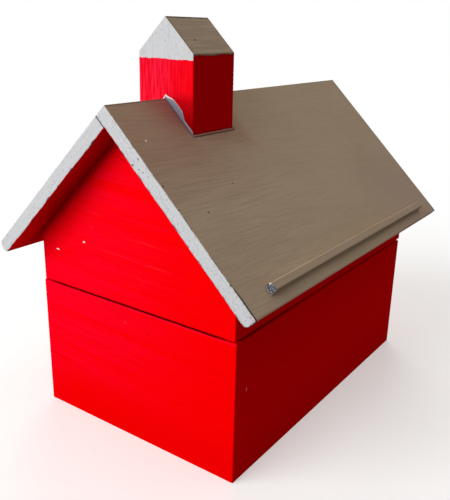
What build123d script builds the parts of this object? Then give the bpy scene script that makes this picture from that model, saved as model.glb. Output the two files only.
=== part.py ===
from build123d import *
from math import cos, radians, sin, tan
import os

# A gable-roofed birdhouse: a lower box, and a roof lid that is hinged to it along the left side.
# Millimetres. The origin is the middle of the base, +Z is up and the front gable faces -Y.

# Box
BOX_WIDTH = 152.4  # across the gables, outside
BOX_LENGTH = 228.6  # front to rear, outside
LOWER_WALL_HEIGHT = 88.9
WALL = 12.7  # thickness of the walls and gables
FLOOR = 9.5
DRAIN_CUT = 8.0  # corner taken off the floor, so that water runs out
EDGE_EASE = 0.6  # sanded outside edges of the walls

# Lid
SEAM_GAP = 0.5  # between the lower box and the closed lid
LID_INSET = 0.9  # the lid's side walls stand this far inside the faces of the lower box
LID_REAR_OUTSET = 3.4  # and its rear gable this far behind, while its front gable is flush
EAVE_HEIGHT = 122.5  # underside of the roof above the side faces of the lower box
ENTRANCE_DIAMETER = 32.0
ENTRANCE_HEIGHT = 130.0  # middle of the entrance above the base
ENTRANCE_EASE = 1.5

# Roof
ROOF_PITCH = 44.0  # degrees
ROOF_BOARD = 8.7  # thickness
ROOF_SLOPE = 127.0  # underside of the right roof board, from the peak to the eave
LEFT_ROOF_SLOPE = 128.96  # the left one, which is cut a little longer and sanded rounder
ROOF_OVERHANG = 15.9  # past the front and rear of the lower box
LEFT_EAVE_ROUND = 4.4  # upper edge of each eave
RIGHT_EAVE_ROUND = 1.0
LEFT_EAVE_EASE = 4.0  # lower edge of each eave
RIGHT_EAVE_EASE = 3.4
ROOF_EASE = 0.7  # sanded ends and peak of the roof boards

# Chimney
CHIMNEY_WIDTH = 40.0
CHIMNEY_DEPTH = 39.1
CHIMNEY_SETBACK = 33.3  # behind the front of the lower box
CHIMNEY_RISE = 24.9  # from the peak of the roof to the foot of the chimney's own gable
CHIMNEY_EASE = 0.5

# Rail on the right slope
RAIL_WIDTH = 5.3
RAIL_HEIGHT = 4.3
RAIL_SETBACK = 7.4  # from the eave
RAIL_FRONT_GAP = 22.0  # from the front end of the roof
RAIL_REAR_GAP = 25.8
RAIL_EASE = 1.0

# Hinges on the left side
HINGE_LENGTH = 25.4
HINGE_SPACING = 130.0
HINGE_LEAF = 1.0  # thickness
HINGE_LEAF_HEIGHT = 12.0
HINGE_LEAF_ROUND = 1.5
HINGE_PIN = 2.4  # diameter
HINGE_PIN_HEAD = 3.4
HINGE_PIN_HEAD_HEIGHT = 0.6
KNUCKLE_WALL = 0.95
KNUCKLES = 5
KNUCKLE_GAP = 0.2
PIN_CLEARANCE = 0.05
HINGE_CLEARANCE = 0.3  # between the turning knuckles and the walls
RECESS_CLEARANCE = 0.8  # round the leaf that is let into the lower wall

# Fasteners
FASTENER_CLEARANCE = 0.05
BRAD = 1.2  # shank diameter
BRAD_HEAD = 2.0
BRAD_HEAD_HEIGHT = 0.8
BRAD_LENGTH = 25.0
BRAD_POINT = 2.0
BRAD_SET = 1.0  # heads are punched this deep and filled over
RAIL_BRAD_LENGTH = 10.0
RAIL_BRAD_COUNT = 4
RAIL_BRAD_EDGE = 18.0
WALL_BRAD_ROWS = 3
WALL_BRAD_EDGE = 18.0  # from the ends of a row of brads to the edges of the board
GABLE_BRAD_EDGE = 10.0
ROOF_BRAD_EDGE = 26.0
RIDGE_BRAD_COUNT = 4
RIDGE_BRAD_EDGE = 30.0
HINGE_SCREW = 2.2
HINGE_SCREW_HEAD = 4.4
HINGE_SCREW_LENGTH = 8.0
HINGE_SCREW_SPACING = 14.0
CHIMNEY_SCREW = 3.0
CHIMNEY_SCREW_HEAD = 5.6
CHIMNEY_SCREW_LENGTH = 25.0
SCREW_RIM = 0.3  # straight edge of a countersunk head
SCREW_POINT = 2.5
SCREW_SLOT = 0.7
SCREW_SLOT_DEPTH = 0.6

# Places worked out from the sizes above
half_width = BOX_WIDTH / 2
half_length = BOX_LENGTH / 2
inner_half_width = half_width - WALL
inner_half_length = half_length - WALL
lid_half_width = half_width - LID_INSET
lid_middle = LID_REAR_OUTSET / 2
lid_half_length = half_length + LID_REAR_OUTSET / 2
lid_base = LOWER_WALL_HEIGHT + SEAM_GAP
rise = tan(radians(ROOF_PITCH))
pitch_cos = cos(radians(ROOF_PITCH))
pitch_sin = sin(radians(ROOF_PITCH))
under_peak = EAVE_HEIGHT + half_width * rise
top_peak = under_peak + ROOF_BOARD / pitch_cos
roof_length = BOX_LENGTH + 2 * ROOF_OVERHANG
top_slope = ROOF_SLOPE + ROOF_BOARD * rise
left_top_slope = LEFT_ROOF_SLOPE + ROOF_BOARD * rise
ridge_joint = ROOF_BOARD / (2 * pitch_sin)
knuckle_radius = HINGE_PIN / 2 + PIN_CLEARANCE + KNUCKLE_WALL
hinge_x = -lid_half_width - HINGE_CLEARANCE - knuckle_radius
hinge_z = LOWER_WALL_HEIGHT + SEAM_GAP / 2
leaf_start = knuckle_radius + HINGE_CLEARANCE
chimney_front = -half_length + CHIMNEY_SETBACK
chimney_eave = top_peak + CHIMNEY_RISE
chimney_peak = chimney_eave + CHIMNEY_WIDTH / 2 * rise
rail_start = top_slope - RAIL_SETBACK - RAIL_WIDTH
rail_length = roof_length - RAIL_FRONT_GAP - RAIL_REAR_GAP
rail_middle = (RAIL_FRONT_GAP - RAIL_REAR_GAP) / 2

# On these two planes X runs down the slope from the peak and Z points away from the roof, so that
# Y runs to the rear on the right one and to the front on the left one
right_slope = Plane(
    origin=(0, 0, top_peak), x_dir=(pitch_cos, 0, -pitch_sin), z_dir=(pitch_sin, 0, pitch_cos)
)
left_slope = Plane(
    origin=(0, 0, top_peak), x_dir=(-pitch_cos, 0, -pitch_sin), z_dir=(-pitch_sin, 0, pitch_cos)
)


def underside(x):
    """Height of the roof's underside at a distance x from the middle."""
    return under_peak - abs(x) * rise


def roof_top(x):
    """Height of the roof's top face at a distance x from the middle."""
    return top_peak - abs(x) * rise


def spaced(first, last, count):
    """Evenly spaced values from first to last."""
    return [first + (last - first) * index / (count - 1) for index in range(count)]


def fastener(shank, head, rim, cone, length, point, room=0.0, access=0.0):
    """A brad or screw down -Z with its head's top at the origin. With room round it, it is a hole."""
    with BuildPart() as piece:
        with BuildSketch(Plane.XZ):
            with BuildLine():
                Polyline(
                    (0, room + access),
                    (head / 2 + room, room + access),
                    (head / 2 + room, -rim),
                    (shank / 2 + room, -rim - cone),
                    (shank / 2 + room, -length + point),
                    (0, -length - room),
                    close=True,
                )
            make_face()
        revolve(axis=Axis.Z)
    return piece.part


def slotted(screw, head):
    """A screw with a slot across its head."""
    with BuildPart() as piece:
        add(screw)
        Box(head, SCREW_SLOT, 2 * SCREW_SLOT_DEPTH, mode=Mode.SUBTRACT)
    return piece.part


def group(solid, places):
    """Copies of one fastener at its places, as a group of separate solids."""
    with BuildPart() as pieces:
        with Locations(*places):
            add(solid)
    return pieces


# Fasteners and their holes
brad_sizes = (BRAD, BRAD_HEAD, BRAD_HEAD_HEIGHT, 0.0)
brad = fastener(*brad_sizes, BRAD_LENGTH, BRAD_POINT)
brad_hole = fastener(*brad_sizes, BRAD_LENGTH, BRAD_POINT, FASTENER_CLEARANCE)
rail_brad = fastener(*brad_sizes, RAIL_BRAD_LENGTH, BRAD_POINT)
rail_brad_hole = fastener(*brad_sizes, RAIL_BRAD_LENGTH, BRAD_POINT, FASTENER_CLEARANCE)

hinge_screw_sizes = (
    HINGE_SCREW,
    HINGE_SCREW_HEAD,
    SCREW_RIM,
    (HINGE_SCREW_HEAD - HINGE_SCREW) / 2,
    HINGE_SCREW_LENGTH,
    SCREW_POINT,
)
hinge_screw = slotted(fastener(*hinge_screw_sizes), HINGE_SCREW_HEAD)
hinge_screw_hole = fastener(*hinge_screw_sizes, FASTENER_CLEARANCE)

chimney_screw_sink = (CHIMNEY_SCREW_HEAD / 2 + FASTENER_CLEARANCE) * rise
chimney_screw_sizes = (
    CHIMNEY_SCREW,
    CHIMNEY_SCREW_HEAD,
    SCREW_RIM,
    (CHIMNEY_SCREW_HEAD - CHIMNEY_SCREW) / 2,
    CHIMNEY_SCREW_LENGTH,
    SCREW_POINT,
)
chimney_screw = slotted(fastener(*chimney_screw_sizes), CHIMNEY_SCREW_HEAD)
chimney_screw_hole = fastener(*chimney_screw_sizes, FASTENER_CLEARANCE, 2 * chimney_screw_sink)

# Places of the fasteners, each with Z pointing out of its head
wall_brad_places = [
    Plane(origin=(side * (half_width - WALL / 2), end * (half_length - BRAD_SET), z), z_dir=(0, end, 0))
    for end in (-1, 1)
    for side in (-1, 1)
    for z in spaced(WALL_BRAD_EDGE, LOWER_WALL_HEIGHT - WALL_BRAD_EDGE, WALL_BRAD_ROWS)
]
floor_brad_x = inner_half_width - WALL_BRAD_EDGE
floor_brad_y = inner_half_length - WALL_BRAD_EDGE
floor_brad_places = [
    Plane(origin=(x, end * (half_length - BRAD_SET), FLOOR / 2), z_dir=(0, end, 0))
    for end in (-1, 1)
    for x in (-floor_brad_x, floor_brad_x)
] + [
    Plane(origin=(side * (half_width - BRAD_SET), y, FLOOR / 2), z_dir=(side, 0, 0))
    for side in (-1, 1)
    for y in (-floor_brad_y, floor_brad_y)
]
gable_brad_places = [
    Plane(
        origin=(side * (lid_half_width - WALL / 2), lid_middle + end * (lid_half_length - BRAD_SET), z),
        z_dir=(0, end, 0),
    )
    for end in (-1, 1)
    for side in (-1, 1)
    for z in (lid_base + GABLE_BRAD_EDGE, underside(lid_half_width) - GABLE_BRAD_EDGE)
]
roof_brad_places = [
    slope.offset(-BRAD_SET).location
    * Location((s, slope.y_dir.Y * lid_middle + end * (lid_half_length - WALL / 2), 0))
    for slope in (left_slope, right_slope)
    for end in (-1, 1)
    for s in (ROOF_BRAD_EDGE, lid_half_width / pitch_cos - ROOF_BRAD_EDGE)
]
ridge_brad_y = roof_length / 2 - RIDGE_BRAD_EDGE
ridge_brad_places = [
    right_slope.offset(-BRAD_SET).location * Location((ROOF_BOARD / 2, y, 0))
    for y in spaced(-ridge_brad_y, ridge_brad_y, RIDGE_BRAD_COUNT)
]
rail_brad_y = rail_length / 2 - RAIL_BRAD_EDGE
rail_brad_places = [
    right_slope.offset(RAIL_HEIGHT - BRAD_SET).location
    * Location((rail_start + RAIL_WIDTH / 2, rail_middle + y, 0))
    for y in spaced(-rail_brad_y, rail_brad_y, RAIL_BRAD_COUNT)
]
chimney_screw_x = CHIMNEY_WIDTH / 4
chimney_screw_places = [
    Plane(
        origin=(
            side * chimney_screw_x,
            chimney_front + CHIMNEY_DEPTH / 2,
            underside(chimney_screw_x) + chimney_screw_sink,
        ),
        z_dir=(0, 0, -1),
    )
    for side in (-1, 1)
]


def hinge_screw_places(level):
    """Places of the hinge screws above the pins, for level 1, or below them, for level -1."""
    return [
        Plane(
            origin=(
                -lid_half_width - HINGE_LEAF,
                hinge * HINGE_SPACING / 2 + side * HINGE_SCREW_SPACING / 2,
                hinge_z + level * (leaf_start + HINGE_LEAF_HEIGHT / 2),
            ),
            z_dir=(-1, 0, 0),
        )
        for hinge in (-1, 1)
        for side in (-1, 1)
    ]


# Lower box
with BuildPart() as lower_front_wall:
    with BuildSketch(Plane.XZ.offset(half_length)):
        with Locations((0, LOWER_WALL_HEIGHT / 2)):
            Rectangle(BOX_WIDTH, LOWER_WALL_HEIGHT)
    extrude(amount=-WALL)
    fillet(edges() - edges().group_by(Axis.Y)[-1], EDGE_EASE)
    with Locations(*wall_brad_places, *floor_brad_places):
        add(brad_hole, mode=Mode.SUBTRACT)

with BuildPart() as lower_rear_wall:
    mirror(lower_front_wall.part, about=Plane.XZ)

with BuildPart() as lower_right_wall:
    with BuildSketch(Plane.YZ.offset(half_width)):
        with Locations((0, LOWER_WALL_HEIGHT / 2)):
            Rectangle(2 * inner_half_length, LOWER_WALL_HEIGHT)
    extrude(amount=-WALL)
    fillet(faces().sort_by(Axis.X)[-1].edges().filter_by(Axis.Y), EDGE_EASE)
    with Locations(*wall_brad_places, *floor_brad_places):
        add(brad_hole, mode=Mode.SUBTRACT)

with BuildPart() as lower_left_wall:
    mirror(lower_right_wall.part, about=Plane.YZ)
    recess_height = SEAM_GAP / 2 + leaf_start + HINGE_LEAF_HEIGHT + RECESS_CLEARANCE
    with BuildSketch(Plane.YZ.offset(-half_width)):
        with Locations((0, LOWER_WALL_HEIGHT - recess_height / 2)):
            with GridLocations(HINGE_SPACING, 0, 2, 1):
                Rectangle(HINGE_LENGTH + 2 * RECESS_CLEARANCE, recess_height)
    extrude(amount=LID_INSET, mode=Mode.SUBTRACT)
    with Locations(*hinge_screw_places(-1)):
        add(hinge_screw_hole, mode=Mode.SUBTRACT)

with BuildPart() as floor_board:
    with BuildSketch():
        Rectangle(2 * inner_half_width, 2 * inner_half_length)
        chamfer(vertices(), DRAIN_CUT)
    extrude(amount=FLOOR)
    with Locations(*floor_brad_places):
        add(brad_hole, mode=Mode.SUBTRACT)

wall_brads = group(brad, wall_brad_places)
floor_brads = group(brad, floor_brad_places)

# Walls of the lid
with BuildPart() as front_gable:
    with BuildSketch(Plane.XZ.offset(half_length)):
        with BuildLine():
            Polyline(
                (-lid_half_width, lid_base),
                (lid_half_width, lid_base),
                (lid_half_width, underside(lid_half_width)),
                (0, under_peak),
                (-lid_half_width, underside(lid_half_width)),
                close=True,
            )
        make_face()
    extrude(amount=-WALL)
    face_edges = edges().group_by(Axis.Y)[0]
    end_edges = edges().filter_by(Axis.Y).group_by(Axis.Z)[0]
    fillet(face_edges.filter_by(Axis.X) + face_edges.filter_by(Axis.Z) + end_edges, EDGE_EASE)
    with Locations(*gable_brad_places, *roof_brad_places):
        add(brad_hole, mode=Mode.SUBTRACT)

with BuildPart() as rear_gable:
    mirror(front_gable.part, about=Plane.XZ.offset(-lid_middle))
    with BuildSketch(Plane.XZ.offset(-lid_middle - lid_half_length)):
        with Locations((0, ENTRANCE_HEIGHT)):
            Circle(ENTRANCE_DIAMETER / 2)
    extrude(amount=WALL, mode=Mode.SUBTRACT)
    entrance_rims = edges().filter_by(GeomType.CIRCLE).group_by(SortBy.RADIUS)[-1]
    fillet(entrance_rims, ENTRANCE_EASE)

with BuildPart() as upper_right_wall:
    with BuildSketch(Plane.XZ.offset(-lid_middle)):
        with BuildLine():
            Polyline(
                (lid_half_width - WALL, lid_base),
                (lid_half_width, lid_base),
                (lid_half_width, underside(lid_half_width)),
                (lid_half_width - WALL, underside(lid_half_width - WALL)),
                close=True,
            )
        make_face()
    extrude(amount=lid_half_length - WALL, both=True)
    fillet(edges().filter_by(Axis.Y).group_by(Axis.Z)[0].sort_by(Axis.X)[-1], EDGE_EASE)
    with Locations(*gable_brad_places):
        add(brad_hole, mode=Mode.SUBTRACT)

with BuildPart() as upper_left_wall:
    mirror(upper_right_wall.part, about=Plane.YZ)
    with Locations(*hinge_screw_places(1)):
        add(hinge_screw_hole, mode=Mode.SUBTRACT)

gable_brads = group(brad, gable_brad_places)

# Roof: the right board runs up to the peak, and the left board butts against its underside
with BuildPart() as right_roof_board:
    with BuildSketch(Plane.XZ):
        with BuildLine():
            Polyline(
                (ROOF_SLOPE * pitch_cos, under_peak - ROOF_SLOPE * pitch_sin),
                (top_slope * pitch_cos, top_peak - top_slope * pitch_sin),
                (0, top_peak),
                (-ridge_joint, roof_top(ridge_joint)),
                close=True,
            )
        make_face()
    extrude(amount=roof_length / 2, both=True)
    eave_edges = edges().filter_by(Axis.Y).sort_by(Axis.X)[-2:].sort_by(Axis.Z)
    fillet(eave_edges[-1:], RIGHT_EAVE_ROUND)
    fillet(edges().filter_by(Axis.Y).sort_by(Axis.Z)[:1], RIGHT_EAVE_EASE)
    peak_edge = edges().filter_by(Axis.Y).sort_by(Axis.Z)[-1:]
    fillet(edges().group_by(Axis.Y)[0] + edges().group_by(Axis.Y)[-1] + peak_edge, ROOF_EASE)
    with Locations(*roof_brad_places, *ridge_brad_places):
        add(brad_hole, mode=Mode.SUBTRACT)
    with Locations(*rail_brad_places):
        add(rail_brad_hole, mode=Mode.SUBTRACT)
    with Locations(*chimney_screw_places):
        add(chimney_screw_hole, mode=Mode.SUBTRACT)

with BuildPart() as left_roof_board:
    with BuildSketch(Plane.XZ):
        with BuildLine():
            Polyline(
                (-LEFT_ROOF_SLOPE * pitch_cos, under_peak - LEFT_ROOF_SLOPE * pitch_sin),
                (-left_top_slope * pitch_cos, top_peak - left_top_slope * pitch_sin),
                (-ridge_joint, roof_top(ridge_joint)),
                (0, under_peak),
                close=True,
            )
        make_face()
    extrude(amount=roof_length / 2, both=True)
    eave_edges = edges().filter_by(Axis.Y).sort_by(Axis.X)[:2].sort_by(Axis.Z)
    fillet(eave_edges[-1:], LEFT_EAVE_ROUND)
    fillet(edges().filter_by(Axis.Y).sort_by(Axis.Z)[:1], LEFT_EAVE_EASE)
    front_edges = edges().group_by(Axis.Y)[0].sort_by(Axis.X)[:-1]
    rear_edges = edges().group_by(Axis.Y)[-1].sort_by(Axis.X)[:-1]
    fillet(front_edges + rear_edges, ROOF_EASE)
    with Locations(*roof_brad_places, *ridge_brad_places):
        add(brad_hole, mode=Mode.SUBTRACT)
    with Locations(*chimney_screw_places):
        add(chimney_screw_hole, mode=Mode.SUBTRACT)

roof_brads = group(brad, roof_brad_places)
ridge_brads = group(brad, ridge_brad_places)

# Chimney: a block notched over the ridge, with a small gable of its own
with BuildPart() as chimney:
    with BuildSketch(Plane.XZ.offset(-chimney_front)):
        with BuildLine():
            Polyline(
                (0, top_peak),
                (CHIMNEY_WIDTH / 2, roof_top(CHIMNEY_WIDTH / 2)),
                (CHIMNEY_WIDTH / 2, chimney_eave),
                (0, chimney_peak),
                (-CHIMNEY_WIDTH / 2, chimney_eave),
                (-CHIMNEY_WIDTH / 2, roof_top(CHIMNEY_WIDTH / 2)),
                close=True,
            )
        make_face()
    extrude(amount=-CHIMNEY_DEPTH)
    cap_edges = edges().filter_by_position(Axis.Z, chimney_eave, chimney_peak)
    fillet(edges().filter_by(Axis.Z) + cap_edges, CHIMNEY_EASE)
    with Locations(*chimney_screw_places):
        add(chimney_screw_hole, mode=Mode.SUBTRACT)

chimney_screws = group(chimney_screw, chimney_screw_places)

# Rail along the right eave
with BuildPart() as eave_rail:
    with BuildSketch(right_slope):
        with Locations((rail_start + RAIL_WIDTH / 2, rail_middle)):
            Rectangle(RAIL_WIDTH, rail_length)
    extrude(amount=RAIL_HEIGHT)
    outer_face = faces().sort_by(Axis(right_slope.origin, right_slope.z_dir))[-1]
    fillet(outer_face.edges(), RAIL_EASE)
    with Locations(*rail_brad_places):
        add(rail_brad_hole, mode=Mode.SUBTRACT)

rail_brads = group(rail_brad, rail_brad_places)

# Hinges
knuckle_length = (HINGE_LENGTH - (KNUCKLES - 1) * KNUCKLE_GAP) / KNUCKLES


def hinge_leaf(middle, level, first_knuckle):
    """The leaf above the pin, for level 1, or below it, for level -1, with every second knuckle."""
    with BuildPart() as leaf:
        with BuildSketch(Plane.YZ.offset(-lid_half_width)):
            with Locations((middle, hinge_z + level * (leaf_start + HINGE_LEAF_HEIGHT / 2))):
                Rectangle(HINGE_LENGTH, HINGE_LEAF_HEIGHT)
            free_corners = vertices().group_by(Axis.Z)[-1 if level > 0 else 0]
            fillet(free_corners, HINGE_LEAF_ROUND)
        extrude(amount=-HINGE_LEAF)
        for index in range(first_knuckle, KNUCKLES, 2):
            knuckle_start = middle - HINGE_LENGTH / 2 + index * (knuckle_length + KNUCKLE_GAP)
            with BuildSketch(Plane.XZ.offset(-knuckle_start)):
                with Locations((-lid_half_width - HINGE_LEAF / 2, hinge_z + level * leaf_start / 2)):
                    Rectangle(HINGE_LEAF, leaf_start)
                with Locations((hinge_x, hinge_z)):
                    Circle(knuckle_radius)
                    Circle(HINGE_PIN / 2 + PIN_CLEARANCE, mode=Mode.SUBTRACT)
            extrude(amount=-knuckle_length)
        with Locations(*hinge_screw_places(level)):
            add(hinge_screw_hole, mode=Mode.SUBTRACT)
    return leaf


def hinge_pin(middle):
    """A pin through all the knuckles, with its ends peened over."""
    with BuildPart() as pin:
        with BuildSketch(Plane.XZ.offset(-middle)):
            with Locations((hinge_x, hinge_z)):
                Circle(HINGE_PIN / 2)
        extrude(amount=HINGE_LENGTH / 2, both=True)
        for end in (-1, 1):
            with BuildSketch(Plane.XZ.offset(-middle - end * HINGE_LENGTH / 2)):
                with Locations((hinge_x, hinge_z)):
                    Circle(HINGE_PIN_HEAD / 2)
            extrude(amount=-end * HINGE_PIN_HEAD_HEIGHT)
    return pin


pieces = {
    "floor_board": floor_board,
    "lower_front_wall": lower_front_wall,
    "lower_rear_wall": lower_rear_wall,
    "lower_left_wall": lower_left_wall,
    "lower_right_wall": lower_right_wall,
    "wall_brads": wall_brads,
    "floor_brads": floor_brads,
    "front_gable": front_gable,
    "rear_gable": rear_gable,
    "upper_left_wall": upper_left_wall,
    "upper_right_wall": upper_right_wall,
    "gable_brads": gable_brads,
    "left_roof_board": left_roof_board,
    "right_roof_board": right_roof_board,
    "roof_brads": roof_brads,
    "ridge_brads": ridge_brads,
    "chimney": chimney,
    "chimney_screws": chimney_screws,
    "eave_rail": eave_rail,
    "rail_brads": rail_brads,
    "lower_hinge_screws": group(hinge_screw, hinge_screw_places(-1)),
    "upper_hinge_screws": group(hinge_screw, hinge_screw_places(1)),
}
for name, middle in (("front", -HINGE_SPACING / 2), ("rear", HINGE_SPACING / 2)):
    pieces[f"{name}_hinge_lower_leaf"] = hinge_leaf(middle, -1, 0)
    pieces[f"{name}_hinge_upper_leaf"] = hinge_leaf(middle, 1, 1)
    pieces[f"{name}_hinge_pin"] = hinge_pin(middle)

os.makedirs("parts", exist_ok=True)
for name, piece in pieces.items():
    piece.part.label = name
    export_step(piece.part, f"parts/{name}.step")
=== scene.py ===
from math import cos, radians, sin, tan

import bpy
from mathutils import Matrix, Vector


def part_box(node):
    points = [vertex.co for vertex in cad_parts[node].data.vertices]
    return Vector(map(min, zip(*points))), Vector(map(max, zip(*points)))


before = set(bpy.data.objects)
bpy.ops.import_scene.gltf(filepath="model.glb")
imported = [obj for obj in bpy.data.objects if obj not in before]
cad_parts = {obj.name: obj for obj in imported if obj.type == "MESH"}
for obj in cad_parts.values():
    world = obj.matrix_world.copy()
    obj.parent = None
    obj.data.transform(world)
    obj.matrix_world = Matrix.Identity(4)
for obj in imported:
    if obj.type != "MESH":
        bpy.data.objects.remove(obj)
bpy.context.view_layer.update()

# Camera, in the frame's metres and in degrees
CAMERA_PLACE = Vector((0.24727, -0.37137, 0.24747))
CAMERA_AZIMUTH = 35.008
CAMERA_ELEVATION = 18.955
CAMERA_ROLL = 1.344
CAMERA_NEAREST = 0.01
FOCAL_PIXELS = 650.68
FRAME_HEIGHT_PIXELS = 500
SENSOR_MM = 36.0

# Lamps: direction from the middle of the object, distance and width in metres, power in watts, colour
WHITE_LIGHT = (1.0, 1.0, 1.0)
WARM_LIGHT = (1.0, 0.95, 0.88)
LAMPS = {
    "key": ((-0.36, -0.85, 0.36), 1.6, 1.4, 28.6, WHITE_LIGHT),
    "top": ((0.25, 0.1, 1.0), 1.4, 1.0, 3.3, WARM_LIGHT),
    "rear": ((-0.5, 0.74, 0.5), 1.6, 1.0, 8.0, WHITE_LIGHT),
}
LAMP_TARGET = Vector((0.0, 0.0, 0.12))
ROOM_STRENGTH = 0.315

# Floor: half its width and where its shadows fade to white, in metres, and its levels of grey
FLOOR_HALF = 6.0
FLOOR_FADE = (0.22, 0.62)
FLOOR_BOUNCE = 0.15
FLOOR_SHOWN = 0.66
FLOOR_GLOW = 0.4

# Sizes that the paint follows, read from the frame or set with the part
MM = 0.001
lower_low, lower_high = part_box("lower_front_wall")
gable_low, gable_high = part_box("front_gable")
_, rear_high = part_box("rear_gable")
_, roof_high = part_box("right_roof_board")
chimney_low, chimney_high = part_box("chimney")
rail_low, rail_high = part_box("eave_rail")
ROOF_PITCH = radians(44.0)
ROOF_BOARD = 8.7 * MM
ROOF_SLOPE = 127.0 * MM
half_width = lower_high.x
half_length = -lower_low.y
lid_half_width = gable_high.x
lid_middle = (gable_low.y + rear_high.y) / 2
lid_half_length = (rear_high.y - gable_low.y) / 2
seam_middle = (lower_high.z + gable_low.z) / 2
under_peak = gable_high.z
roof_rise = tan(ROOF_PITCH)
roof_half_length = roof_high.y
top_peak = under_peak + ROOF_BOARD / cos(ROOF_PITCH)
chimney_middle = (chimney_low.y + chimney_high.y) / 2
chimney_half_length = chimney_high.y - chimney_middle
cap_eave = chimney_high.z - chimney_high.x * roof_rise
rail_middle_x = (rail_low.x + rail_high.x) / 2
rail_middle_z = (rail_low.z + rail_high.z) / 2

# Faces that carry small marks, in millimetres
WALL_FRONT = lower_low.y / MM
WALL_RIGHT = lower_high.x / MM
ROOF_FRONT = -roof_half_length / MM


def srgb(red, green, blue):
    """A colour given as 0 to 255 screen values, as linear light with alpha."""

    def linear(value):
        part = value / 255
        return part / 12.92 if part <= 0.04045 else ((part + 0.055) / 1.055) ** 2.4

    return (linear(red), linear(green), linear(blue), 1.0)


# Paint and other colours
RED = srgb(248, 0, 2)
RED_LIT_TINT = srgb(248, 3, 36)
RED_DEEP = srgb(236, 0, 1)
RED_SHADE_AND_STAIN = srgb(196, 0, 4)
RED_GROOVE_SHADE = srgb(128, 0, 4)
RED_CORNER_SHADE = srgb(150, 0, 2)
RED_EDGE_HIGHLIGHT = srgb(250, 20, 70)
CHIMNEY_RED = srgb(242, 33, 66)
CHIMNEY_RED_DEEP = srgb(226, 0, 20)
CHIMNEY_RED_PLAIN = srgb(239, 0, 5)
CHIMNEY_SHADE_RED = srgb(116, 0, 0)
CHIMNEY_SIDE_SHADE_RED = srgb(205, 0, 8)
TAUPE = srgb(188, 168, 146)
TAUPE_DARK = srgb(169, 149, 127)
TAUPE_WORN_AND_HIGHLIGHT = srgb(226, 208, 170)
TAUPE_RED_BOUNCE = srgb(167, 136, 117)
TAUPE_RED_REFLECTION = srgb(150, 84, 87)
TAUPE_FAR = srgb(172, 150, 139)
TAUPE_PINK_LIT = srgb(246, 186, 170)
TRIM_GREY = srgb(201, 203, 206)
TRIM_SHADE = srgb(180, 183, 188)
TRIM_GRIT = srgb(150, 152, 158)
TRIM_FRINGE = srgb(84, 44, 66)
SMEAR_GREY = srgb(138, 135, 150)
SMEAR_EDGE = srgb(126, 98, 106)
END_GRAIN = srgb(136, 144, 158)
END_GRAIN_DARK = srgb(58, 58, 70)
PALE_CHIP_AND_HIGHLIGHT = srgb(238, 226, 222)
PINK_CHIP = srgb(208, 120, 132)
FOOT_BEAD = srgb(206, 132, 118)
DARK_SPECK = srgb(74, 62, 54)
BARK_GREY = srgb(104, 80, 66)
PINE = srgb(214, 178, 128)
PINE_DARK = srgb(176, 130, 80)
BRASS = srgb(190, 158, 92)
BRASS_DULL = srgb(128, 102, 60)
STEEL = srgb(180, 180, 182)
STEEL_DARK = srgb(120, 120, 124)

# Surface of the matt paint, and how deep its brush marks and those of the other materials are
MATT_IOR = 1.06
THIN_BRUSH = 0.1 * MM
THICK_BRUSH = 0.12 * MM
BRASS_STAIN = 0.03 * MM
STEEL_SCRATCH = 0.02 * MM

# Brush strokes and grain: changes per metre along X, Y and Z, or down, along and out of a roof slope
WALL_STROKES = (20.0, 20.0, 640.0)
WALL_GRAIN = (30.0, 30.0, 320.0)
STROKE_TILT = 0.05
BROAD_STROKES = 0.3
SLOPE_STROKES = (1500.0, 46.0, 300.0)
SLOPE_DRIFT = (14.0, 9.0, 14.0)
SLOPE_BRISTLES = (1500.0, 32.0, 300.0)
BRISTLE_TILT = -0.07
TRIM_GRAIN = (46.0, 300.0, 1300.0)
SOFFIT_STROKES = (160.0, 16.0, 160.0)
SOFFIT_GRAIN = (260.0, 12.0, 260.0)
CHIMNEY_STROKES = (1150.0, 1150.0, 52.0)
CAP_LINES = (800.0, 30.0, 800.0)
RAIL_STROKES = (520.0, 26.0, 520.0)
RAIL_WEAR = (300.0, 46.0, 300.0)
FLOOR_RINGS = (300.0, 14.0, 300.0)
FLOOR_GRAIN = (600.0, 24.0, 600.0)

# Where the paint changes, in millimetres: a pair goes from nothing to full, and four make a band
# Walls: across is along X, rise is along Z, and depth is below the roof
# Spans of the bluish tint of bright light that is painted on the walls
COOL_ACROSS = (74.0, -60.0)
COOL_RISE = (4.0, 60.0)
COOL_LEFT = (-44.0, -76.0)
WARM_RISE = (96.0, 108.0)
WARM_LEFT = (-24.0, -54.0)
FOOT_SHADE_RISE = (40.0, 2.0)
CORNER_DEPTH = (9.0, 0.0)
CORNER_ACROSS = (14.0, -6.0)
SHADE_DEPTH = (0.5, 4.0, 10.0, 32.0)
SHADE_ACROSS = (-2.0, -46.0)
SCUFF_RISE = (100.0, 116.0)
SCUFF_ACROSS = (40.0, 10.0)
SEAM_GROOVE = (1.0, 0.5)
GROOVE_FROM_CORNER = (-0.8, 16.2)
GROOVE_SIDE_START = (2.3, 5.3)
GROOVE_SIDE_FADE = (144.3, 4.3)
LIT_EDGE = (0.9, 1.2, 1.5, 1.9)
LIT_EDGE_ACROSS = (-60.0, 10.0)
LIT_EDGE_FRONT = (1.3, 0.3)
PAINT_LAP = (-5.2, -4.2)

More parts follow.
